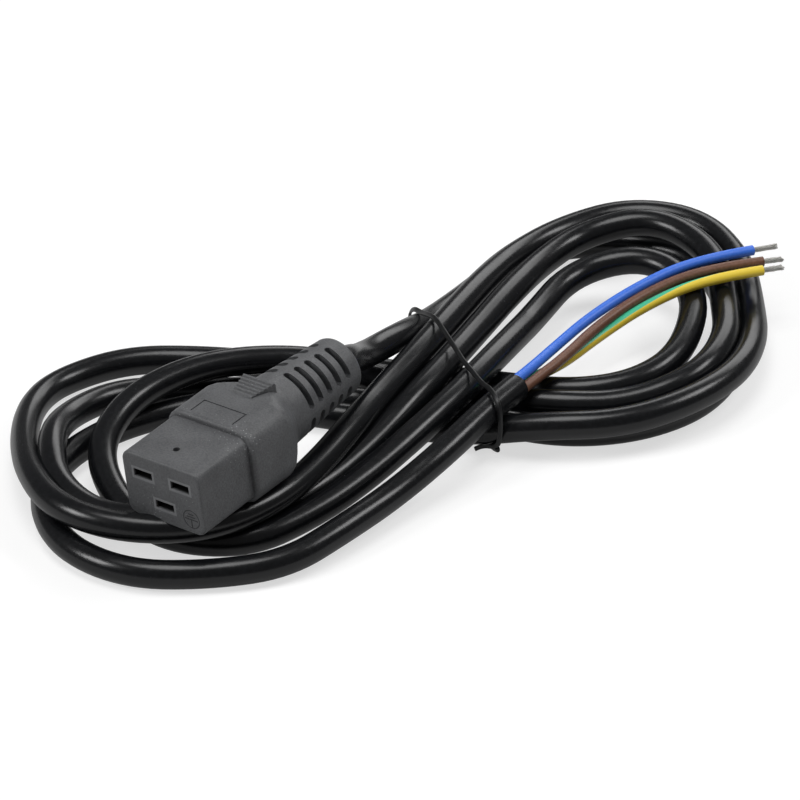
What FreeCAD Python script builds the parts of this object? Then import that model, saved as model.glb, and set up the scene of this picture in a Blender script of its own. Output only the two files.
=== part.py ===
import FreeCAD, Part
import math
import os

os.makedirs("parts", exist_ok=True)

# IEC 60320 C19 cord set: a moulded connector on a three-core lead that is tied
# in a loose figure-8 hank. All lengths are in mm, +Z is up and Z = 0 is the
# surface that the hank lies on.
# The connector is drawn in its own frame: X across the engagement face, Y from
# the face towards the cable, Z up. It is then laid on the hank.

V = FreeCAD.Vector

# ---- connector: engagement end ----
face_width = 27.2
face_height = 19.8
face_corner_r = 3.0
face_edge_r = 0.7
front_length = 20.4
mould_hole_d = 2.0
mould_hole_y = 7.4
mould_hole_depth = 2.0

# ---- connector: grip body and its shoulder ----
body_step = 1.8
body_length = 15.0
body_corner_r = 6.5
body_rim_r = 1.2
shoulder_length = 9.5
shoulder_steps = 5
panel_width = 14.6
panel_front_gap = 2.0
panel_length = 5.8
panel_groove = 0.5
panel_depth = 0.3

# ---- connector: finger pad ----
pad_front_width = 6.8
pad_rear_width = 11.0
pad_length = 7.9
pad_front_rise = 0.4
pad_rear_rise = 1.3
pad_rib_count = 6
pad_rib_depth = 0.45

# ---- connector: slotted strain relief ----
relief_length = 29.0
relief_root_r = 10.7
relief_tip_r = 8.5
relief_tip_edge_r = 0.8
relief_core_wall = 1.0
slot_rows = 5
slot_pitch = 4.3
slot_width = 2.1
slot_first = 5.0
slot_columns = 4
slot_end_cut = 0.7
web_width = 2.6

# ---- contacts and the carrier that holds them ----
line_spacing = 13.0
earth_drop = 8.0
row_centre_z = -0.05
pin_slot_width = 6.4
pin_slot_height = 2.4
pin_lip = 3.5
chimney_wall = 0.75
contact_room = 0.2
contact_cavity_h = 3.0
carrier_plate_width = 23.0
carrier_plate_height = 14.6
carrier_plate_thickness = 4.0
carrier_length = 19.0
contact_wall = 0.3
contact_length = 13.0
contact_seam = 0.8
contact_neck_width = 2.2
spring_bow = 0.55
fit_gap = 0.05
barrel_d = 2.9
barrel_length = 6.5
conductor_d = 1.6
conductor_strip = 8.5

# ---- cable ----
cable_d = 8.0
core_d = 3.0
core_pitch_r = 1.85
sheath_grip = 29.0
bare_end = 8.0
bare_d = 1.5

# ---- where the connector lies ----
connector_face = V(-61.7, -86.3, 24.6)
connector_yaw = -38.9
connector_pitch = 4.67
connector_roll = -4.03

# ---- hank ----
coil_height = 9.5
nose_rest_height = 15.5
arm_height = 14.5
bundle_layers = 2.5
coil_edge = 2.5
coil_to_connector = 0.3
mating_room = 30.0
coil_outline = [
    (-4, 23), (-26, 28), (-54, 24), (-79, 19), (-98, 5), (-106, -17),
    (-106, -40), (-99, -64), (-88, -84), (-68, -98), (-44, -99),
    (-21, -88), (-3, -64), (13, -39), (28, -26), (49, -31), (70, -28),
    (90, -14), (103, 8), (106, 34), (104, 62), (97, 81), (82, 93), (62, 99),
    (42, 92), (30, 73), (20, 49), (8, 32),
]
left_eye = [
    (-16, -15), (-34, -9), (-57, -10), (-72, -18), (-78, -36),
    (-75, -55), (-64, -67), (-46, -66), (-32, -50), (-20, -31),
]
right_eye = [
    (35, 11), (49, 5), (65, 9), (76, 21), (80, 40), (78, 60),
    (69, 73), (59, 66), (47, 48), (39, 30),
]
nose_rest_outline = [
    (-100, -38), (-96, -64), (-85, -82), (-67, -94), (-45, -95), (-24, -84),
    (-14, -62), (-29, -52), (-45, -69), (-65, -70), (-79, -54), (-83, -36),
]
arm_outline = [
    (23, 48), (33, 71), (44, 88), (62, 96), (81, 90), (95, 78), (101, 60), (102, 34), (94, 14),
    (84, 22), (83, 42), (81, 62), (70, 77), (57, 69), (44, 48), (34, 34),
]
bundle_outline = [
    (-1, 25), (-9, 10), (-11, -10), (-22, -32), (-16, -48), (6, -49),
    (19, -42), (28, -30), (34, -18), (33, 4), (38, 29), (28, 43), (11, 39),
]
lead_route = [
    (-2.3, -10.6, 30.3), (2.1, -1.0, 27.2), (5.0, 7.9, 21.9), (7.5, 17.4, 15.2), (10.2, 27.0, 12.0),
]
tail_start = V(27.4, -23.1, 14.4)
tail_end = V(35.0, -11.9, 14.4)

trench_clear = 0.9
trench_length = 34.0

# ---- tie ----
tie_width = 1.5
tie_thickness = 0.8
tie_gap = 0.3
tie_ends = [V(2.8, 33.0, 0.0), V(29.2, -30.4, 0.0)]
tie_knee = 5.0
tie_foot = 2.5


def rounded_rect(width, height, radius, y):
    """Closed wire of a round-cornered rectangle in the plane Y = y."""
    a = width / 2.0
    b = height / 2.0
    r = min(radius, a - 0.01, b - 0.01)
    k = r * (1.0 - math.sqrt(0.5))
    corners = []
    for sx, sz in ((1, 1), (-1, 1), (-1, -1), (1, -1)):
        on_side = V(sx * a, y, sz * (b - r))
        mid = V(sx * (a - k), y, sz * (b - k))
        on_top = V(sx * (a - r), y, sz * b)
        corners.append((on_side, mid, on_top) if sx * sz > 0 else (on_top, mid, on_side))
    edges = []
    for i, (start, mid, end) in enumerate(corners):
        edges.append(Part.Arc(start, mid, end).toShape())
        edges.append(Part.LineSegment(end, corners[(i + 1) % 4][0]).toShape())
    return Part.Wire(edges)


def prism(width, height, radius, y0, y1):
    """Round-cornered bar along Y from y0 to y1."""
    return Part.Face(rounded_rect(width, height, radius, y0)).extrude(V(0, y1 - y0, 0))


def block(x0, x1, y0, y1, z0, z1):
    return Part.makeBox(x1 - x0, y1 - y0, z1 - z0, V(x0, y0, z0))


def bar(x, z, diameter, y0, y1):
    """Round bar along Y."""
    return Part.makeCylinder(diameter / 2.0, y1 - y0, V(x, y0, z), V(0, 1, 0))


def route(points, closed=False):
    """Straight runs joined by tangent arcs; each arc is as large as its two runs allow."""
    count = len(points)
    arcs = {}
    for i in range(count):
        if not closed and i in (0, count - 1):
            continue
        before = points[i] - points[i - 1]
        after = points[(i + 1) % count] - points[i]
        turn = before.getAngle(after)
        reach = 0.45 * min(before.Length, after.Length)
        radius = reach / math.tan(turn / 2.0)
        u = V(before).normalize()
        w = V(after).normalize()
        start = points[i] - u * reach
        end = points[i] + w * reach
        inward = V(w - u).normalize()
        centre_gap = radius / math.cos(turn / 2.0)
        mid = points[i] + inward * (centre_gap - radius)
        arcs[i] = (start, mid, end, radius)
    edges = []
    legs = count if closed else count - 1
    for i in range(legs):
        j = (i + 1) % count
        leg_start = arcs[i][2] if i in arcs else points[i]
        leg_end = arcs[j][0] if j in arcs else points[j]
        edges.append(Part.LineSegment(leg_start, leg_end).toShape())
        if j in arcs:
            edges.append(Part.Arc(arcs[j][0], arcs[j][1], arcs[j][2]).toShape())
    return Part.Wire(edges), [round(arcs[i][3], 1) for i in sorted(arcs)]


def tube(name, points, diameter, closed=False):
    """Round bar along a route: a cylinder on each run and a piece of torus on each arc."""
    path, radii = route(points, closed)
    pieces = []
    for edge in path.Edges:
        start = edge.valueAt(edge.FirstParameter)
        end = edge.valueAt(edge.LastParameter)
        heading = edge.tangentAt(edge.FirstParameter)
        disc = Part.Face(Part.Wire(Part.makeCircle(diameter / 2.0, start, heading)))
        if edge.Curve.TypeId == "Part::GeomLine":
            pieces.append(disc.extrude(end - start))
        else:
            turn = math.degrees(edge.Length / edge.Curve.Radius)
            pieces.append(disc.revolve(edge.Curve.Center, edge.Curve.Axis, turn))
    solid = pieces[0].fuse(pieces[1:])
    share = solid.Volume / (math.pi * diameter ** 2 / 4.0 * path.Length)
    print(name, "length", round(path.Length, 1), "radii", radii, "volume share", round(share, 4))
    return solid.removeSplitter()


def plan_face(points, z):
    path = route([V(x, y, z) for x, y in points], True)[0]
    return Part.Face(path)


def revolved(profile, angle=360.0):
    """Closed (radius, y) profile turned about the connector's axis."""
    corners = [V(r, y, 0) for r, y in profile]
    return Part.Face(Part.makePolygon(corners + [corners[0]])).revolve(V(0, 0, 0), V(0, 1, 0), angle)


def placed(shape):
    """From the connector's own frame to where it lies."""
    turn = FreeCAD.Rotation(V(0, 0, 1), connector_yaw)
    turn = turn * FreeCAD.Rotation(V(1, 0, 0), connector_pitch)
    turn = turn * FreeCAD.Rotation(V(0, 1, 0), connector_roll)
    out = shape.copy()
    out.Placement = FreeCAD.Placement(connector_face, turn).multiply(out.Placement)
    return out


def placed_point(x, y, z):
    return placed(Part.Vertex(x, y, z)).Point


# ---- stations along the connector ----
body_width = face_width + 2 * body_step
body_height = face_height + 2 * body_step
body_end = front_length + body_length
shoulder_end = body_end + shoulder_length
relief_end = shoulder_end + relief_length
sheath_start = relief_end - sheath_grip
carrier_back = carrier_length
barrel_start = carrier_back - 0.5
barrel_end = barrel_start + barrel_length
core_start = barrel_end + 0.5
upper_z = row_centre_z + earth_drop / 2.0
lower_z = row_centre_z - earth_drop / 2.0
pin_places = {
    "line": (line_spacing / 2.0, upper_z),
    "neutral": (-line_spacing / 2.0, upper_z),
    "earth": (0.0, lower_z),
}
core_angles = {"line": 30.0, "neutral": 150.0, "earth": 270.0}


def core_place(name):
    angle = math.radians(core_angles[name])
    return core_pitch_r * math.cos(angle), core_pitch_r * math.sin(angle)


# ---- contact carrier: three chimneys on one plate ----
chimney_width = pin_slot_width + 2 * chimney_wall
chimney_height = pin_slot_height + 2 * chimney_wall
cavity_width = pin_slot_width + 2 * contact_room
plate_y = carrier_back - carrier_plate_thickness
carrier_block = block(
    -carrier_plate_width / 2.0, carrier_plate_width / 2.0, plate_y, carrier_back,
    -carrier_plate_height / 2.0, carrier_plate_height / 2.0,
)
for x, z in pin_places.values():
    chimney = block(
        x - chimney_width / 2.0, x + chimney_width / 2.0, 0.0, carrier_back,
        z - chimney_height / 2.0, z + chimney_height / 2.0,
    )
    carrier_block = carrier_block.fuse(chimney)
carrier_block = carrier_block.removeSplitter()
carrier = carrier_block
for x, z in pin_places.values():
    mouth = block(
        x - pin_slot_width / 2.0, x + pin_slot_width / 2.0, -1.0, pin_lip + 1.0,
        z - pin_slot_height / 2.0, z + pin_slot_height / 2.0,
    )
    cavity = block(
        x - cavity_width / 2.0, x + cavity_width / 2.0, pin_lip, carrier_back + 1.0,
        z - contact_cavity_h / 2.0, z + contact_cavity_h / 2.0,
    )
    carrier = carrier.cut(mouth).cut(cavity)


def contact(x, z):
    """Folded brass sleeve with a bowed spring, a neck and a crimp barrel."""
    half_w = cavity_width / 2.0 - fit_gap
    half_h = contact_cavity_h / 2.0 - fit_gap
    y0 = pin_lip + fit_gap
    y1 = y0 + contact_length
    sleeve = block(x - half_w, x + half_w, y0, y1, z - half_h, z + half_h)
    inner = block(
        x - half_w + contact_wall, x + half_w - contact_wall, y0 - 1, y1 + 1,
        z - half_h + contact_wall, z + half_h - contact_wall,
    )
    seam = block(x - contact_seam / 2.0, x + contact_seam / 2.0, y0 - 1, y1 + 1, z, z + half_h + 1)
    sleeve = sleeve.cut(inner).cut(seam)
    floor_z = z - half_h
    y_mid = (y0 + y1) / 2.0
    spring_y0 = y0 + 1.0
    spring_y1 = y1 - 1.0
    low = Part.Arc(
        V(x, spring_y0, floor_z + 0.1), V(x, y_mid, floor_z + spring_bow), V(x, spring_y1, floor_z + 0.1)
    )
    high = Part.Arc(
        V(x, spring_y0, floor_z + 0.1 + contact_wall), V(x, y_mid, floor_z + spring_bow + contact_wall),
        V(x, spring_y1, floor_z + 0.1 + contact_wall),
    )
    ends = [
        Part.LineSegment(V(x, spring_y1, floor_z + 0.1), V(x, spring_y1, floor_z + 0.1 + contact_wall)),
        Part.LineSegment(V(x, spring_y0, floor_z + 0.1 + contact_wall), V(x, spring_y0, floor_z + 0.1)),
    ]
    edges = [low.toShape(), high.toShape(), ends[0].toShape(), ends[1].toShape()]
    outline = Part.Wire(Part.__sortEdges__(edges))
    spring_width = cavity_width - 3.0
    spring = Part.Face(outline).extrude(V(spring_width, 0, 0))
    spring.translate(V(-spring_width / 2.0, 0, 0))
    barrel = bar(x, z, barrel_d, barrel_start, barrel_end)
    barrel = barrel.cut(bar(x, z, conductor_d + 2 * fit_gap, barrel_start - 1, barrel_end + 1))
    neck = block(
        x - contact_neck_width / 2.0, x + contact_neck_width / 2.0, y1 - 1.0, carrier_back,
        floor_z, floor_z + 0.5,
    )
    neck = neck.cut(bar(x, z, conductor_d + 2 * fit_gap, barrel_start - 1, barrel_end + 1))
    return sleeve.fuse([spring, neck, barrel]).removeSplitter()


def inner_core(name, diameter):
    """Core from its crimp barrel to the sheath, cut square at both."""
    x, z = pin_places[name]
    cx, cz = core_place(name)
    first = V(x, core_start, z)
    last = V(cx, sheath_start, cz)
    run = last - first
    reach = diameter * run.Length / run.y
    heading = V(run).normalize()
    core = Part.makeCylinder(diameter / 2.0, run.Length + 2 * reach, first - heading * reach, heading)
    room = block(-body_width, body_width, core_start, sheath_start, -body_width, body_width)
    return core.common(room)


# ---- overmould ----
front = prism(face_width, face_height, face_corner_r, 0.0, front_length + 1.0)
face_edges = [e for e in front.Edges if abs(e.CenterOfMass.y) < 0.001]
front = front.makeFillet(face_edge_r, face_edges)
body = prism(body_width, body_height, body_corner_r, front_length, body_end)
rim_edges = [e for e in body.Edges if abs(e.CenterOfMass.y - front_length) < 0.001]
body = body.makeFillet(body_rim_r, rim_edges)
shoulder_rings = []
for i in range(shoulder_steps + 1):
    part = i / shoulder_steps
    ease = part * part * (3.0 - 2.0 * part)
    ring_width = body_width + (2 * relief_root_r - body_width) * ease
    ring_height = body_height + (2 * relief_root_r - body_height) * ease
    ring_r = body_corner_r + (relief_root_r - body_corner_r) * ease
    shoulder_rings.append(rounded_rect(ring_width, ring_height, ring_r, body_end + shoulder_length * part))
shoulder = Part.makeLoft(shoulder_rings, True, True)
edge_r = relief_tip_edge_r
relief = revolved([
    (0, shoulder_end - 0.5), (relief_root_r, shoulder_end - 0.5), (relief_root_r, shoulder_end),
    (relief_tip_r, relief_end - edge_r), (relief_tip_r - 0.3 * edge_r, relief_end - 0.3 * edge_r),
    (relief_tip_r - edge_r, relief_end), (0, relief_end),
])
slot_cutters = []
slot_floor_r = cable_d / 2.0 + relief_core_wall
for row in range(slot_rows):
    y0 = shoulder_end + slot_first + row * slot_pitch
    mean_r = relief_root_r + (relief_tip_r - relief_root_r) * (y0 - shoulder_end) / relief_length
    sector = 360.0 / slot_columns - math.degrees(web_width / mean_r)
    ring = revolved([
        (slot_floor_r, y0), (relief_root_r + 2.0, y0),
        (relief_root_r + 2.0, y0 + slot_width), (slot_floor_r, y0 + slot_width),
    ], sector)
    spokes = [e for e in ring.Edges if e.Length > slot_width + 1.0 and len(e.Vertexes) == 2
              and abs(e.Vertexes[0].Y - e.Vertexes[1].Y) < 0.001 and e.Curve.TypeId == "Part::GeomLine"]
    ring = ring.makeChamfer(min(slot_end_cut, 0.48 * slot_width), spokes)
    for column in range(slot_columns):
        cutter = ring.copy()
        middle = (column + 0.5) * 360.0 / slot_columns
        cutter.rotate(V(0, 0, 0), V(0, 1, 0), -middle - sector / 2.0)
        slot_cutters.append(cutter)
relief = relief.cut(slot_cutters)

body_top = body_height / 2.0
pad_y0 = body_end - 0.6
pad_y1 = pad_y0 + pad_length
pad_floor = body_top - 4.0
teeth = [V(0, pad_y0, pad_floor), V(0, pad_y0, body_top)]
rib_pitch = pad_length / pad_rib_count
for i in range(pad_rib_count):
    y = pad_y0 + i * rib_pitch
    rise = pad_front_rise + (pad_rear_rise - pad_front_rise) * (i + 0.5) / pad_rib_count
    teeth.append(V(0, y + 0.25 * rib_pitch, body_top + rise))
    teeth.append(V(0, y + 0.7 * rib_pitch, body_top + rise))
    teeth.append(V(0, y + rib_pitch, body_top + rise - pad_rib_depth))
teeth.append(V(0, pad_y1, pad_floor))
pad = Part.Face(Part.makePolygon(teeth + [teeth[0]])).extrude(V(pad_rear_width, 0, 0))
pad.translate(V(-pad_rear_width / 2.0, 0, 0))
plan = [
    V(-pad_front_width / 2.0, pad_y0, pad_floor), V(pad_front_width / 2.0, pad_y0, pad_floor),
    V(pad_rear_width / 2.0, pad_y1, pad_floor), V(-pad_rear_width / 2.0, pad_y1, pad_floor),
]
pad = pad.common(Part.Face(Part.makePolygon(plan + [plan[0]])).extrude(V(0, 0, body_height)))

overmould = front.fuse([body, shoulder, relief, pad]).removeSplitter()
panel_y0 = front_length + panel_front_gap
panel_y1 = panel_y0 + panel_length
groove_z = body_top - panel_depth
for side in (-1, 1):
    x = side * panel_width / 2.0
    overmould = overmould.cut(block(
        x - panel_groove / 2.0, x + panel_groove / 2.0, panel_y0, panel_y1, groove_z, body_top + 1
    ))
overmould = overmould.cut(block(
    -panel_width / 2.0, panel_width / 2.0, panel_y1 - panel_groove, panel_y1, groove_z, body_top + 1
))
overmould = overmould.cut(Part.makeCylinder(
    mould_hole_d / 2.0, mould_hole_depth + 1,
    V(0, mould_hole_y, face_height / 2.0 - mould_hole_depth), V(0, 0, 1),
))
overmould = overmould.cut(carrier_block)
overmould = overmould.cut(bar(0, 0, cable_d + 2 * fit_gap, sheath_start, relief_end + 1))
for name, (x, z) in pin_places.items():
    room = bar(x, z, barrel_d + 2 * fit_gap, carrier_back - 0.5, core_start)
    overmould = overmould.cut(room).cut(inner_core(name, core_d + 2 * fit_gap))

nodes = {}
nodes["connector_overmould"] = placed(overmould)
nodes["contact_carrier"] = placed(carrier)
for name, (x, z) in pin_places.items():
    nodes[name + "_contact"] = placed(contact(x, z))
    inner = inner_core(name, core_d)
    strand_y0 = barrel_end - barrel_length + 1.0
    strand = bar(x, z, conductor_d, strand_y0, strand_y0 + conductor_strip)
    inner = inner.cut(strand)
    nodes[name + "_core_inner"] = placed(inner)
    nodes[name + "_conductor_inner"] = placed(strand)

# ---- hank of cable: one closed solid of its outer shape ----
bundle_height = bundle_layers * cable_d


def raised(outline, height, eyes=()):
    """Slab on the floor with its outer upper edge eased."""
    slab = plan_face(outline, 0.0).extrude(V(0, 0, height))
    rims = [e for e in slab.Edges if abs(e.CenterOfMass.z - height) < 0.001]
    slab = slab.makeChamfer(coil_edge, rims)
    for eye in eyes:
        slab = slab.cut(plan_face(eye, -1.0).extrude(V(0, 0, height + 2)))
    return slab


def trench(start, heading):
    """Room above and beside a straight stretch of cable that leaves the hank square to its end face."""
    half = cable_d / 2.0 + trench_clear
    room = Part.makeBox(trench_length, 2 * half, bundle_height, V(0, -half, -half))
    flat = math.hypot(heading.x, heading.y)
    turn = FreeCAD.Rotation(V(0, 0, 1), math.degrees(math.atan2(heading.y, heading.x)))
    turn = turn * FreeCAD.Rotation(V(0, 1, 0), -math.degrees(math.atan2(heading.z, flat)))
    room.Placement = FreeCAD.Placement(start, turn)
    return room


coil = raised(coil_outline, coil_height, (left_eye, right_eye))
coil = coil.fuse([
    raised(nose_rest_outline, nose_rest_height), raised(arm_outline, arm_height),
    raised(bundle_outline, bundle_height),
]).removeSplitter()
g = coil_to_connector
rest_room = prism(face_width + 2 * g, face_height + 2 * g, face_corner_r + g, -mating_room, front_length)
rest_room = rest_room.fuse([
    prism(body_width + 2 * g, body_height + 2 * g, body_corner_r + g, front_length - g, shoulder_end),
    bar(0, 0, 2 * relief_root_r + 2 * g, shoulder_end - 1, relief_end + g),
])
coil = coil.cut(placed(rest_room))

# ---- tie: one turn of flat strip round the bundle ----
tie_line = V(tie_ends[1] - tie_ends[0]).normalize()
half_strip = tie_thickness / 2.0
tie_top = bundle_height + tie_gap + half_strip
tie_points = []
for end, inward in ((tie_ends[0], tie_line), (tie_ends[1], tie_line * -1.0)):
    leg = [
        end + inward * tie_foot + V(0, 0, half_strip), end + V(0, 0, 1.6 * tie_foot),
        end + V(0, 0, bundle_height - 1.0), end + inward * tie_knee + V(0, 0, tie_top),
    ]
    tie_points += leg if not tie_points else leg[::-1]
tie_path = route(tie_points, True)[0]
tie_ring = Part.Face(tie_path.makeOffset2D(half_strip)).cut(Part.Face(tie_path.makeOffset2D(-half_strip)))
tie_side = tie_line.cross(V(0, 0, 1))
tie_loop = tie_ring.extrude(tie_side * tie_width)
tie_loop.translate(tie_side * (-tie_width / 2.0))
slot_w = tie_width + 2 * tie_gap
span = (tie_ends[1] - tie_ends[0]).Length
tie_groove = Part.makeBox(span, slot_w, 3.0 * tie_thickness)
tie_groove.translate(V(0, -slot_w / 2.0, 0))
tie_groove.rotate(V(0, 0, 0), V(0, 0, 1), math.degrees(math.atan2(tie_line.y, tie_line.x)))
tie_groove.translate(tie_ends[0])
coil = coil.cut(tie_groove)
tail_heading = V(tail_end - tail_start).normalize()
lead_points = [placed_point(0, relief_end, 0), placed_point(0, relief_end + 12.0, 0)]
lead_points += [V(*p) for p in lead_route]
coil = coil.cut([
    trench(tail_start, tail_heading),
    trench(lead_points[-1], V(lead_points[-2] - lead_points[-1]).normalize()),
])
nodes["cable_coil"] = coil
nodes["twist_tie"] = tie_loop

# ---- lead from the strain relief to the hank, and the cut end beyond it ----
nodes["cable_in_relief"] = placed(bar(0, 0, cable_d, sheath_start, relief_end))
nodes["cable_lead"] = tube("cable_lead", lead_points, cable_d)
nodes["cable_tail"] = Part.makeCylinder(
    cable_d / 2.0, (tail_end - tail_start).Length, tail_start, tail_heading
)

# ---- stripped cores ----
side = V(tail_heading.cross(V(0, 0, 1))).normalize()
core_routes = {
    "neutral": [(47.0, 8.5, 15.4), (59.0, 28.0, 16.2), (72.0, 42.5, 18.0), (87.0, 50.6, 18.4), (102.8, 56.6, 17.6)],
    "line": [(48.5, 5.0, 14.8), (59.0, 22.0, 15.0), (70.5, 34.5, 16.6), (85.5, 44.0, 18.4), (103.5, 51.0, 17.6)],
    "earth": [(49.5, 5.5, 11.4), (61.5, 19.0, 12.4), (73.0, 30.5, 15.0), (87.0, 40.0, 18.2), (103.0, 46.6, 17.6)],
}
for name, points in core_routes.items():
    angle = math.radians(core_angles[name])
    start = tail_end + side * (core_pitch_r * math.cos(angle)) + V(0, 0, core_pitch_r * math.sin(angle))
    path = [start, start + tail_heading * 8.0] + [V(*p) for p in points]
    nodes[name + "_core"] = tube(name + "_core", path, core_d)
    direction = V(path[-1] - path[-2]).normalize()
    nodes[name + "_bare_end"] = Part.makeCylinder(bare_d / 2.0, bare_end, path[-1], direction)

for name, shape in nodes.items():
    if not shape.isValid():
        print("INVALID", name)
    shape.exportStep(os.path.join("parts", name + ".step"))
    print(name, len(shape.Solids), round(shape.Volume, 1))
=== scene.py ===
import bpy
import math
from mathutils import Matrix, Vector


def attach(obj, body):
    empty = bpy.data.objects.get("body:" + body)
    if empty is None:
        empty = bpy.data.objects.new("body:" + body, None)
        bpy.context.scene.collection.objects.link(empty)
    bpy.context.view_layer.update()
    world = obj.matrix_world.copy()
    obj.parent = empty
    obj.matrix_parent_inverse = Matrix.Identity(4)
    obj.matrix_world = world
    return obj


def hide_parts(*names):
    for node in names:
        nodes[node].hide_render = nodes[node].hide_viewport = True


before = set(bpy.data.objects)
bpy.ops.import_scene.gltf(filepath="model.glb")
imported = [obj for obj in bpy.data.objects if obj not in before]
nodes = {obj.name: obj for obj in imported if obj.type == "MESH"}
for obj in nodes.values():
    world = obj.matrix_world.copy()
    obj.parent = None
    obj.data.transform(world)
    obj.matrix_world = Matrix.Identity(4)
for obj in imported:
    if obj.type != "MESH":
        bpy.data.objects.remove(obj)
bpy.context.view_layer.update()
mm = 0.001  # sizes below are in millimetres, the scene is in metres
print("frame loaded:", len(nodes), "nodes")


def hexColour(text):
    parts = [int(text[i:i + 2], 16) / 255 for i in (1, 3, 5)]
    return tuple(c / 12.92 if c <= 0.04045 else ((c + 0.055) / 1.055) ** 2.4 for c in parts) + (1.0,)


def addNode(tree, kind, settings=None, links=None):
    node = tree.nodes.new(kind)
    for key, value in (settings or {}).items():
        if isinstance(key, int) or key in node.inputs:
            node.inputs[key].default_value = value
        else:
            setattr(node, key, value)
    for key, (source, output) in (links or {}).items():
        tree.links.new(source.outputs[output], node.inputs[key])
    return node


def setRamp(ramp, stops):
    elements = ramp.color_ramp.elements
    while len(elements) < len(stops):
        elements.new(0.5)
    for element, (place, colour) in zip(elements, stops):
        element.position = place
        element.color = colour if isinstance(colour, tuple) else (colour, colour, colour, 1)


def startMaterial(name):
    material = bpy.data.materials.new(name)
    material.use_nodes = True
    tree = material.node_tree
    tree.nodes.clear()
    shader = addNode(tree, "ShaderNodeBsdfPrincipled")
    addNode(tree, "ShaderNodeOutputMaterial", links={"Surface": (shader, "BSDF")})
    place = addNode(tree, "ShaderNodeTexCoord")
    return material, tree, shader, place


def mouldedPlastic(name, settings):
    # injection moulded PVC from a spark-eroded tool: matt, finely pitted, with a few pale specks of dust
    material, tree, shader, place = startMaterial(name)
    pits = addNode(tree, "ShaderNodeTexNoise", {"Scale": 1000 / settings["grainMm"], "Detail": 3.0},
                   {"Vector": (place, "Object")})
    cloud = addNode(tree, "ShaderNodeTexNoise", {"Scale": 1000 / settings["cloudMm"], "Detail": 4.0},
                    {"Vector": (place, "Object")})
    tone = addNode(tree, "ShaderNodeValToRGB", links={"Fac": (cloud, "Fac")})
    setRamp(tone, [(0.3, hexColour(settings["dark"])), (0.7, hexColour(settings["light"]))])
    speck = addNode(tree, "ShaderNodeValToRGB", links={"Fac": (pits, "Fac")})
    setRamp(speck, [(0.35, settings["speckLow"]), (0.62, 1.0)])
    pitted = addNode(tree, "ShaderNodeMixRGB", {"blend_type": "MULTIPLY", "Fac": 1.0},
                     {"Color1": (tone, "Color"), "Color2": (speck, "Color")})
    grit = addNode(tree, "ShaderNodeTexVoronoi", {"Scale": 1000 / settings["dustMm"], "Randomness": 1.0},
                   {"Vector": (place, "Object")})
    patch = addNode(tree, "ShaderNodeTexNoise", {"Scale": 1000 / settings["patchMm"], "Detail": 2.0},
                    {"Vector": (place, "Object")})
    size = addNode(tree, "ShaderNodeMapRange", {"From Min": 0.45, "From Max": 0.7, "To Min": 0.0,
                                                "To Max": settings["dustShare"]}, {"Value": (patch, "Fac")})
    dust = addNode(tree, "ShaderNodeMath", {"operation": "LESS_THAN"}, {0: (grit, "Distance"), 1: (size, "Result")})
    mixed = addNode(tree, "ShaderNodeMixRGB", {"Color2": hexColour(settings["dustColour"])},
                    {"Fac": (dust, "Value"), "Color1": (pitted, "Color")})
    bump = addNode(tree, "ShaderNodeBump", {"Strength": settings["bump"], "Distance": settings["depthMm"] * mm},
                   {"Height": (pits, "Fac")})
    sheen = addNode(tree, "ShaderNodeMapRange", {"To Min": settings["roughLow"], "To Max": settings["roughHigh"]},
                    {"Value": (cloud, "Fac")})
    if "faceAxis" in settings:  # painted shade: the slot walls turn near black a little way behind the engagement face, standing in for the shade deep in the slots
        depth = addNode(tree, "ShaderNodeVectorMath", {"operation": "DOT_PRODUCT", 1: settings["faceAxis"]},
                        {0: (place, "Object")})
        start, end = ((settings["faceDepth"] + step) * mm for step in settings["paintedShadeFromTo"])
        paintedSlotShade = addNode(tree, "ShaderNodeMapRange", {"From Min": start, "From Max": end}, {"Value": (depth, "Value")})
        mixed = addNode(tree, "ShaderNodeMixRGB", {"Color2": hexColour(settings["paintedSlotShade"])},
                        {"Fac": (paintedSlotShade, "Result"), "Color1": (mixed, "Color")})
    tree.links.new(mixed.outputs["Color"], shader.inputs["Base Color"])
    tree.links.new(bump.outputs["Normal"], shader.inputs["Normal"])
    tree.links.new(sheen.outputs["Result"], shader.inputs["Roughness"])
    shader.inputs["IOR"].default_value = 1.5
    return material


def extrudedPvc(name, settings):
    # extruded soft PVC: smooth and glossy, with long soft glints broken by faint waves over the laid cores
    material, tree, shader, place = startMaterial(name)
    waves = addNode(tree, "ShaderNodeTexNoise", {"Scale": 1000 / settings["waveMm"], "Detail": 1.0},
                    {"Vector": (place, "Object")})
    dust = addNode(tree, "ShaderNodeTexNoise", {"Scale": 1000 / settings["dustMm"], "Detail": 5.0},
                   {"Vector": (place, "Object")})
    tone = addNode(tree, "ShaderNodeValToRGB", links={"Fac": (dust, "Fac")})
    setRamp(tone, [(0.35, hexColour(settings["dark"])), (0.75, hexColour(settings["light"]))])
    first = addNode(tree, "ShaderNodeBump", {"Strength": settings["wave"], "Distance": settings["waveDepthMm"] * mm},
                    {"Height": (waves, "Fac")})
    bump = addNode(tree, "ShaderNodeBump", {"Strength": settings["dust"], "Distance": settings["dustDepthMm"] * mm},
                   {"Height": (dust, "Fac"), "Normal": (first, "Normal")})
    sheen = addNode(tree, "ShaderNodeMapRange", {"To Min": settings["roughLow"], "To Max": settings["roughHigh"]},
                    {"Value": (dust, "Fac")})
    tree.links.new(tone.outputs["Color"], shader.inputs["Base Color"])
    tree.links.new(bump.outputs["Normal"], shader.inputs["Normal"])
    tree.links.new(sheen.outputs["Result"], shader.inputs["Roughness"])
    shader.inputs["IOR"].default_value = 1.52
    shader.inputs["Specular IOR Level"].default_value = settings["gloss"]
    return material


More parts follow.
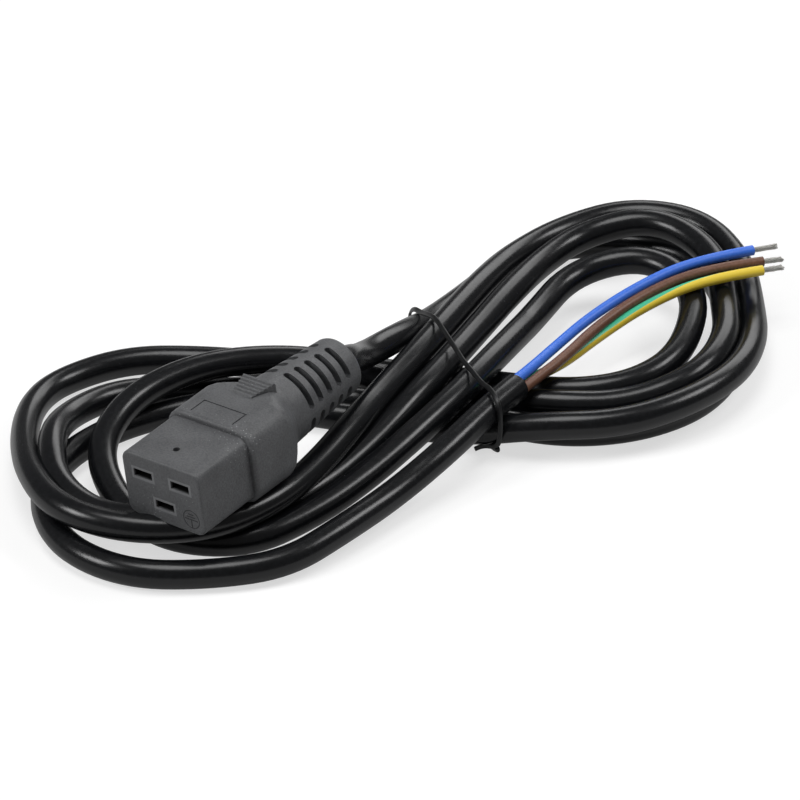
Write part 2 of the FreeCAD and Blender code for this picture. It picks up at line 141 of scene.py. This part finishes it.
def twoColourPvc(name, settings):
    # co-extruded PVC: a green stripe and a yellow one run side by side and turn away near the cut end
    material, tree, shader, place = startMaterial(name)
    split = addNode(tree, "ShaderNodeSeparateXYZ", links={"Vector": (place, "UV")})
    late = addNode(tree, "ShaderNodeMath", {"operation": "POWER", 1: settings["late"]}, {0: (split, "X")})
    turned = addNode(tree, "ShaderNodeMath", {"operation": "MULTIPLY_ADD", 1: settings["turns"], 2: settings["start"]},
                     {0: (late, "Value")})
    summed = addNode(tree, "ShaderNodeMath", {"operation": "ADD"},
                     {0: (turned, "Value"), 1: (split, "Y")})
    wrapped = addNode(tree, "ShaderNodeMath", {"operation": "FRACT"}, {0: (summed, "Value")})
    stripe = addNode(tree, "ShaderNodeValToRGB", links={"Fac": (wrapped, "Value")})
    green, yellow = hexColour(settings["green"]), hexColour(settings["yellow"])
    share, edge = settings["share"], settings["edge"]
    setRamp(stripe, [(0.0, green), (share, green), (share + edge, yellow), (1.0 - edge, yellow), (1.0, green)])
    dust = addNode(tree, "ShaderNodeTexNoise", {"Scale": settings["dustPerMetre"], "Detail": 3.0},
                   {"Vector": (place, "Object")})
    bump = addNode(tree, "ShaderNodeBump", {"Strength": settings["dust"], "Distance": settings["dustDepthMm"] * mm},
                   {"Height": (dust, "Fac")})
    tree.links.new(stripe.outputs["Color"], shader.inputs["Base Color"])
    tree.links.new(bump.outputs["Normal"], shader.inputs["Normal"])
    shader.inputs["Roughness"].default_value = settings["rough"]
    return material


def bareMetal(name, settings):
    # rolled brass strip and drawn tinned strands: bright metal, its glints broken up by a fine grain
    material, tree, shader, place = startMaterial(name)
    grain = addNode(tree, "ShaderNodeTexNoise", {"Scale": 1000 / settings["grainMm"], "Detail": 3.0},
                    {"Vector": (place, "Object")})
    tone = addNode(tree, "ShaderNodeValToRGB", links={"Fac": (grain, "Fac")})
    setRamp(tone, [(0.3, hexColour(settings["dark"])), (0.7, hexColour(settings["light"]))])
    sheen = addNode(tree, "ShaderNodeMapRange", {"To Min": settings["roughLow"], "To Max": settings["roughHigh"]},
                    {"Value": (grain, "Fac")})
    tree.links.new(tone.outputs["Color"], shader.inputs["Base Color"])
    tree.links.new(sheen.outputs["Result"], shader.inputs["Roughness"])
    shader.inputs["Metallic"].default_value = 1.0
    return material


overmouldFinish = {"grainMm": 0.5, "cloudMm": 9.0, "dark": "#58595b", "light": "#656668", "speckLow": 0.72,
                   "bump": 0.6, "depthMm": 0.14, "roughLow": 0.42, "roughHigh": 0.55, "dustMm": 0.9,
                   "patchMm": 14.0, "dustShare": 0.16, "dustColour": "#a5a6a8"}
carrierFinish = {"grainMm": 0.6, "cloudMm": 6.0, "dark": "#77787a", "light": "#828385", "speckLow": 0.88,
                 "bump": 0.25, "depthMm": 0.05, "roughLow": 0.45, "roughHigh": 0.55, "dustMm": 2.0,
                 "patchMm": 20.0, "dustShare": 0.0, "dustColour": "#6a6b6d",
                 # painted shade: deeper than these distances behind the face the carrier is painted near black, in
                 # place of the shade inside the slots
                 "faceAxis": (0.6259, 0.7757, 0.0814), "faceDepth": -103.553, "paintedShadeFromTo": (0.05, 0.9),
                 "paintedSlotShade": "#060606"}
# painted shade: the earth sign's raised lines are coloured near black, standing in for the shade in engraved lines on
# the grey moulding
signShadeFinish = dict(overmouldFinish, dark="#242526", light="#2c2d2f", dustShare=0.0)
pvcFinish = {"gloss": 0.45, "waveMm": 8.0, "wave": 0.1, "waveDepthMm": 0.3, "dustMm": 0.8, "dust": 0.15,
             "dustDepthMm": 0.05, "roughLow": 0.35, "roughHigh": 0.45}
brownFinish = dict(pvcFinish, dark="#6b4836", light="#825a47")
blueFinish = dict(pvcFinish, dark="#3b76ea", light="#4783f2")
sheathFinish = dict(pvcFinish, dark="#0c0d0f", light="#151619", gloss=0.42, waveMm=14.0, wave=0.12, dustMm=1.2,
                    dust=0.25, roughLow=0.2, roughHigh=0.3)
tieFinish = dict(pvcFinish, dark="#0e0f10", light="#17181a", waveMm=5.0, dust=0.2, roughLow=0.3, roughHigh=0.42)
earthFinish = {"green": "#49c79c", "yellow": "#fbdc45", "share": 0.4, "turns": 0.35, "late": 6.0, "start": 0.09,
               "edge": 0.02, "dustPerMetre": 1200.0, "dust": 0.1, "dustDepthMm": 0.05, "rough": 0.38}
brassFinish = {"grainMm": 0.5, "dark": "#a8843c", "light": "#c9a558", "roughLow": 0.28, "roughHigh": 0.42}
tinFinish = {"grainMm": 0.3, "dark": "#8f8e8a", "light": "#d6d5d0", "roughLow": 0.25, "roughHigh": 0.45}

overmouldPvc = mouldedPlastic("mouldedPvcDarkGrey", overmouldFinish)
carrierPbt = mouldedPlastic("mouldedPbtGrey", carrierFinish)
signShadePvc = mouldedPlastic("mouldedPvcPaintedShadeSign", signShadeFinish)
sheathPvc = extrudedPvc("extrudedPvcBlack", sheathFinish)
brownPvc = extrudedPvc("extrudedPvcBrown", brownFinish)
bluePvc = extrudedPvc("extrudedPvcBlue", blueFinish)
earthPvc = twoColourPvc("extrudedPvcGreenYellow", earthFinish)
tiePvc = extrudedPvc("tieWireSleevePvc", tieFinish)
brass = bareMetal("rolledBrass", brassFinish)
tinnedCopper = bareMetal("tinnedCopperStrand", tinFinish)
print("materials ready")

nodeMaterials = {
    "connector_overmould": overmouldPvc, "contact_carrier": carrierPbt,
    "line_contact": brass, "neutral_contact": brass, "earth_contact": brass,
    "line_core_inner": brownPvc, "neutral_core_inner": bluePvc, "earth_core_inner": earthPvc,
    "line_conductor_inner": tinnedCopper, "neutral_conductor_inner": tinnedCopper,
    "earth_conductor_inner": tinnedCopper, "cable_in_relief": sheathPvc,
}
for name, material in nodeMaterials.items():
    mesh = nodes[name].data
    mesh.materials.clear()
    mesh.materials.append(material)

earthSign = {"x": 9.2, "z": -5.2, "radius": 2.75, "line": 0.26, "proud": 0.07, "edge": 0.03,
             "bars": [(1.5, 1.8), (0.7, 2.9), (-0.1, 4.6)],  # height and width of each bar
             "stemTop": -0.1, "stemLow": -2.6}
# the connector's own axes as it lies on the hank, its engagement face at zero
connectorPlace = Matrix(((0.7727, 0.6259, -0.1057, -61.7 * mm), (-0.6309, 0.7757, -0.0191, -86.3 * mm),
                         (0.07, 0.0814, 0.9942, 24.6 * mm), (0, 0, 0, 1)))


def addSignBar(x, z, width, height):
    bpy.ops.object.select_all(action="DESELECT")
    bpy.ops.mesh.primitive_cube_add(size=1.0, location=(0, 0, 0))
    bar = bpy.context.object
    bar.data.transform(Matrix.Translation((x * mm, 0, z * mm))
                       @ Matrix.Diagonal((width * mm, 2 * earthSign["proud"] * mm, height * mm, 1)))
    bevel = bar.modifiers.new("edge", "BEVEL")
    bevel.width = earthSign["edge"] * mm
    bevel.segments = 2
    bpy.ops.object.modifier_apply(modifier="edge")
    return bar


bpy.ops.object.select_all(action="DESELECT")
bpy.ops.mesh.primitive_torus_add(major_radius=earthSign["radius"] * mm, minor_radius=earthSign["line"] / 2 * mm,
                                 major_segments=64, minor_segments=8, location=(0, 0, 0))
sign = bpy.context.object
sign.name = "earthSign"
sign.data.transform(Matrix.Diagonal((1, 2 * earthSign["proud"] / earthSign["line"], 1, 1))
                    @ Matrix.Rotation(math.pi / 2, 4, "X"))
signBars = [addSignBar(0, z, width, earthSign["line"]) for z, width in earthSign["bars"]]
signBars.append(addSignBar(0, (earthSign["stemLow"] + earthSign["stemTop"]) / 2, earthSign["line"],
                           earthSign["stemTop"] - earthSign["stemLow"]))
bpy.ops.object.select_all(action="DESELECT")
for piece in [sign] + signBars:
    piece.select_set(True)
bpy.context.view_layer.objects.active = sign
bpy.ops.object.join()
sign.data.transform(connectorPlace @ Matrix.Translation((earthSign["x"] * mm, 0, earthSign["z"] * mm)))
# the sign takes the near-black painted-shade finish
sign.data.materials.clear()
sign.data.materials.append(signShadePvc)
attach(sign, "root")
print("earth sign made")


def addRoute(name, points, diameter, material, extrude=0.0, resolution=10):
    curve = bpy.data.curves.new(name, "CURVE")
    curve.dimensions = "3D"
    curve.bevel_depth = diameter / 2 * mm
    curve.bevel_resolution = resolution
    curve.extrude = extrude * mm
    curve.use_fill_caps = True
    curve.resolution_u = 8
    spline = curve.splines.new("NURBS")
    spline.points.add(len(points) - 1)
    for point, place in zip(spline.points, points):
        point.co = (place[0] * mm, place[1] * mm, place[2] * mm, 1.0)
    spline.order_u = 3
    spline.use_endpoint_u = True
    piece = bpy.data.objects.new(name, curve)
    bpy.context.scene.collection.objects.link(piece)
    curve.materials.append(material)
    return piece


cable = {
    "diameter": 8.0,
    "length": 2360.0,
    "points": [  # from the strain relief, round the hank, to the cut end
        (-15.4, -29.0, 30.6), (-12.9, -25.9, 30.9), (-10.0, -6.9, 19.4), (1.8, 10.7, 16.7),
        (9.5, 29.2, 9.7), (19.8, 47.6, 7.2), (29.3, 66.4, 4.9), (44.5, 81.7, 4.8),
        (66.0, 85.6, 4.1), (85.6, 75.7, 5.7), (94.8, 56.1, 4.2), (95.0, 34.8, 4.1),
        (95.4, 13.6, 4.1), (85.9, -6.1, 4.1), (68.5, -18.7, 4.1), (47.2, -22.1, 4.1),
        (27.0, -15.3, 4.1), (7.0, -8.8, 4.2), (-13.6, -3.8, 4.1), (-34.5, -0.8, 5.4),
        (-55.5, 0.5, 4.1), (-76.2, -2.8, 6.5), (-90.5, -18.4, 8.3), (-94.6, -38.2, 12.6),
        (-91.7, -60.2, 10.4), (-76.1, -74.9, 8.4), (-54.7, -75.8, 13.0), (-36.8, -66.0, 4.7),
        (-21.2, -51.7, 4.1), (-7.9, -35.4, 7.1), (4.3, -18.8, 12.3), (14.2, 0.0, 13.4),
        (22.8, 19.4, 12.9), (31.8, 38.8, 13.2), (41.6, 59.1, 12.2), (54.3, 74.1, 13.4),
        (75.1, 77.0, 17.4), (91.6, 59.8, 15.4), (93.6, 38.1, 11.8), (93.6, 16.9, 11.8),
        (84.4, -2.9, 11.0), (64.1, -10.8, 6.7), (42.7, -11.4, 7.4), (22.7, -4.0, 5.1),
        (2.2, 1.6, 4.2), (-17.7, 7.4, 10.0), (-38.8, 4.1, 13.0), (-58.1, -4.9, 14.8),
        (-74.4, -18.9, 12.8), (-81.8, -39.2, 9.2), (-75.2, -59.4, 4.5), (-61.5, -76.5, 4.1),
        (-39.4, -79.1, 4.2), (-22.2, -65.6, 5.2), (-7.9, -50.3, 7.5), (5.4, -34.1, 11.1),
        (17.0, -16.5, 13.0), (26.3, 1.5, 13.2), (34.1, 19.6, 11.4), (38.9, 32.1, 9.4),
        (50.8, 55.3, 11.4), (72.2, 58.8, 15.2), (86.5, 42.1, 13.2), (81.1, 12.2, 10.2),
        (67.8, -1.8, 8.4), (49.1, -4.8, 6.9), (29.1, 2.6, 5.1), (8.9, 8.4, 4.1),
        (-11.8, 13.2, 4.2), (-32.9, 15.0, 4.1), (-53.8, 18.1, 4.3), (-75.1, 16.8, 5.1),
        (-93.1, 6.3, 4.6), (-100.8, -7.2, 5.2), (-102.5, -29.0, 7.4), (-99.3, -54.3, 11.0),
        (-90.5, -74.8, 12.6), (-71.9, -84.1, 11.8), (-48.9, -82.7, 11.8), (-31.8, -69.3, 11.9),
        (-20.9, -50.9, 12.0), (-11.0, -32.2, 14.3), (-2.1, -13.0, 14.1), (7.9, 5.6, 15.5),
        (16.5, 25.0, 15.3), (24.8, 44.4, 14.2), (33.5, 63.7, 11.5), (47.9, 79.5, 11.6),
        (68.0, 87.8, 13.5), (89.2, 81.1, 13.6), (99.8, 62.3, 10.3), (101.5, 41.3, 7.9),
        (101.5, 20.0, 9.6), (95.3, -0.5, 10.7), (80.9, -16.5, 10.8), (61.8, -26.4, 10.0),
        (40.4, -26.8, 9.6), (20.2, -21.7, 4.6), (-0.4, -16.7, 4.1), (-21.0, -11.6, 4.3),
        (-41.9, -7.3, 6.1), (-63.0, -11.6, 5.1), (-81.4, -22.4, 4.5), (-94.2, -39.9, 4.1),
        (-95.8, -61.4, 4.1), (-88.4, -81.6, 4.2), (-71.1, -94.2, 4.1), (-49.4, -94.4, 4.1),
        (-28.9, -89.8, 4.6), (-13.6, -74.9, 6.5), (-0.2, -58.6, 7.1), (14.2, -43.9, 12.2),
        (27.4, -23.1, 14.4), (33.6, -14.0, 14.4),
    ],
}
cablePiece = addRoute("cableSheath", cable["points"], cable["diameter"], sheathPvc)
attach(cablePiece, "root")
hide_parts("cable_lead", "cable_coil", "cable_tail")
print("cable laid:", len(cable["points"]), "points")

cores = {
    "diameter": 3.0,
    "neutral": {
        "slot": "core_blue", "material": bluePvc, "length": 99.8, "bare": 7.9,
        "points": [(33.0, -13.6, 16.1), (37.0, -7.8, 16.1), (44.0, 5.0, 15.4), (54.6, 20.8, 16.4),
                   (69.4, 35.4, 18.6), (85.7, 47.5, 19.8), (102.2, 54.9, 18.8)],
    },
    "line": {
        "slot": "core_brown", "material": brownPvc, "length": 97.5, "bare": 6.2,
        "points": [(35.1, -15.0, 14.1), (39.0, -9.2, 14.1), (47.3, 1.5, 14.8), (56.4, 17.4, 15.2),
                   (69.8, 32.1, 17.2), (87.2, 42.6, 19.6), (104.8, 48.4, 18.8)],
    },
    "earth": {
        "slot": "core_green_yellow", "material": earthPvc, "length": 94.3, "bare": 6.4,
        "points": [(32.7, -13.4, 12.9), (36.6, -7.6, 12.9), (46.4, 2.9, 11.4), (57.3, 16.8, 12.6),
                   (70.8, 29.1, 15.6), (87.7, 37.6, 19.2), (104.5, 43.4, 18.8)],
    },
}
bareEnd = {"diameter": 1.7, "strands": 9, "strandDiameter": 0.42, "pitch": 7.0, "steps": 9, "rooted": 0.5,
           "uneven": 0.9, "flare": 0.12}


def addBareEnd(name, start, heading, length):
    curve = bpy.data.curves.new(name, "CURVE")
    curve.dimensions = "3D"
    curve.bevel_depth = bareEnd["strandDiameter"] / 2 * mm
    curve.bevel_resolution = 2
    curve.use_fill_caps = True
    curve.resolution_u = 3
    turn = heading.to_track_quat("Z", "Y")
    ring = (bareEnd["diameter"] - bareEnd["strandDiameter"]) / 2
    count, steps = bareEnd["strands"], bareEnd["steps"]
    for i in range(count):  # one strand in the middle, the others twisted round it
        spline = curve.splines.new("NURBS")
        spline.points.add(steps - 1)
        radius = ring if i else 0.0
        reach = length + bareEnd["rooted"] - bareEnd["uneven"] * ((i * 5) % 4) / 3
        for k in range(steps):
            along = reach * k / (steps - 1)
            flare = radius * (1 + bareEnd["flare"] * (k / (steps - 1)) ** 2 * ((i * 3) % 4 - 1))
            angle = 2 * math.pi * (i / (count - 1) + along / bareEnd["pitch"])
            local = Vector((flare * math.cos(angle), flare * math.sin(angle), along))
            place = start + turn @ local
            spline.points[k].co = (place.x * mm, place.y * mm, place.z * mm, 1.0)
        spline.order_u = 3
        spline.use_endpoint_u = True
    piece = bpy.data.objects.new(name, curve)
    bpy.context.scene.collection.objects.link(piece)
    curve.materials.append(tinnedCopper)
    bpy.ops.object.select_all(action="DESELECT")
    piece.select_set(True)
    bpy.context.view_layer.objects.active = piece
    bpy.ops.object.convert(target="MESH")
    return piece


for name in ("neutral", "line", "earth"):
    core = cores[name]
    piece = addRoute(name + "Core", core["points"], cores["diameter"], core["material"], resolution=6)
    end = Vector(core["points"][-1])
    heading = (end - Vector(core["points"][-2])).normalized()
    strands = addBareEnd(name + "Strands", end - heading * bareEnd["rooted"], heading, core["bare"])
    for part, node, slot in ((piece, name + "_core", core["slot"]), (strands, name + "_bare_end", "tinned_copper")):
        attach(part, "root")
        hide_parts(node)
print("cores and bare ends made")

tie = {
    "width": 1.5,
    "thickness": 0.8,
    "points": [(22.1, -26.4, 1.9), (24.1, -25.4, 2.6), (28.2, -28.1, 3.4), (29.0, -30.0, 8.0),
               (29.1, -30.1, 14.2), (28.3, -28.3, 18.6), (26.2, -23.3, 19.6), (24.1, -18.2, 18.0),
               (21.6, -12.2, 18.3), (19.1, -6.2, 18.0), (16.8, -0.7, 19.3), (13.9, 6.2, 20.2),
               (11.6, 12.0, 21.2), (9.3, 17.3, 19.6), (7.2, 22.4, 17.2), (5.4, 26.7, 16.0), (4.1, 29.9, 12.8),
               (4.3, 29.3, 8.4), (6.3, 24.7, 6.0), (9.0, 18.2, 4.6), (11.4, 12.2, 1.0), (15.9, 1.6, 0.8),
               (22.0, -13.2, 0.8), (26.6, -24.2, 1.0), (28.5, -28.7, 2.6), (28.1, -27.7, 3.6),
               (25.5, -22.1, 1.9)],
}
tieStrip = addRoute("tieWire", tie["points"], tie["thickness"], tiePvc,
                    extrude=(tie["width"] - tie["thickness"]) / 2, resolution=4)
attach(tieStrip, "root")
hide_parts("twist_tie")
print("tie made")

studio = {
    "floorSize": 6.0, "floorColour": "#b4b4b4", "floorGlow": 0.64, "glowInGloss": 0.3, "world": 0.12,
    "softboxes": {  # place, size and power, in metres and watts
        "leftSoftbox": ((-1.19, -0.42, 0.9), (0.5, 0.5), 8.5),
        "rightSoftbox": ((1.02, 0.2, 1.14), (0.6, 0.4), 5.8),
        "backSoftbox": ((0.47, 1.3, 0.8), (1.0, 0.6), 5.0),
        "topSoftbox": ((-0.1, -0.1, 1.6), (0.8, 0.8), 10.0),
    },
}
bpy.ops.mesh.primitive_plane_add(size=studio["floorSize"], location=(0, 0, 0))
floor = bpy.context.object
floor.name = "studioFloor"
floorMaterial = bpy.data.materials.new("paperFloor")
floorMaterial.use_nodes = True
tree = floorMaterial.node_tree
tree.nodes.clear()
paper = addNode(tree, "ShaderNodeBsdfDiffuse", {"Color": hexColour(studio["floorColour"])})
glow = addNode(tree, "ShaderNodeEmission", {"Color": hexColour("#ffffff"), "Strength": studio["floorGlow"]})
path = addNode(tree, "ShaderNodeLightPath")
mirrored = addNode(tree, "ShaderNodeMath", {"operation": "MAXIMUM"},
                   {0: (path, "Is Glossy Ray"), 1: (path, "Is Transmission Ray")})
share = addNode(tree, "ShaderNodeMath", {"operation": "MULTIPLY_ADD", 1: studio["glowInGloss"]},
                {0: (mirrored, "Value"), 2: (path, "Is Camera Ray")})
dark = addNode(tree, "ShaderNodeEmission", {"Color": hexColour("#000000"), "Strength": 0.0})
lit = addNode(tree, "ShaderNodeMixShader",
              links={"Fac": (share, "Value"), 1: (dark, "Emission"), 2: (glow, "Emission")})
total = addNode(tree, "ShaderNodeAddShader", links={0: (paper, "BSDF"), 1: (lit, "Shader")})
addNode(tree, "ShaderNodeOutputMaterial", links={"Surface": (total, "Shader")})
floor.data.materials.append(floorMaterial)

world = bpy.data.worlds.new("studioWorld")
world.use_nodes = True
bpy.context.scene.world = world
world.node_tree.nodes.clear()
worldPath = addNode(world.node_tree, "ShaderNodeLightPath")
seenWorld = addNode(world.node_tree, "ShaderNodeMapRange", {"To Min": studio["world"], "To Max": 1.0},
                    {"Value": (worldPath, "Is Camera Ray")})
sky = addNode(world.node_tree, "ShaderNodeBackground", {"Color": hexColour("#ffffff")},
              {"Strength": (seenWorld, "Result")})
addNode(world.node_tree, "ShaderNodeOutputWorld", links={"Surface": (sky, "Background")})

for name, (place, size, power) in studio["softboxes"].items():
    light = bpy.data.lights.new(name, "AREA")
    light.shape = "RECTANGLE"
    light.size, light.size_y = size
    light.energy = power
    lamp = bpy.data.objects.new(name, light)
    bpy.context.scene.collection.objects.link(lamp)
    lamp.location = place
    lamp.rotation_euler = (-Vector(place)).to_track_quat("-Z", "Y").to_euler()  # aimed at the middle of the hank

viewpoint = {"place": (0.00143, -1.5406, 0.92755), "tilt": 59.0, "lens": 289.1, "sensor": 36.0}
camera = bpy.data.objects.new("camera", bpy.data.cameras.new("camera"))
bpy.context.scene.collection.objects.link(camera)
camera.location = viewpoint["place"]
camera.rotation_euler = (math.radians(viewpoint["tilt"]), 0, 0)
camera.data.lens = viewpoint["lens"]
camera.data.sensor_width = viewpoint["sensor"]
bpy.context.scene.camera = camera
bpy.context.scene.view_settings.view_transform = "Standard"
print("stage, lights and camera set")
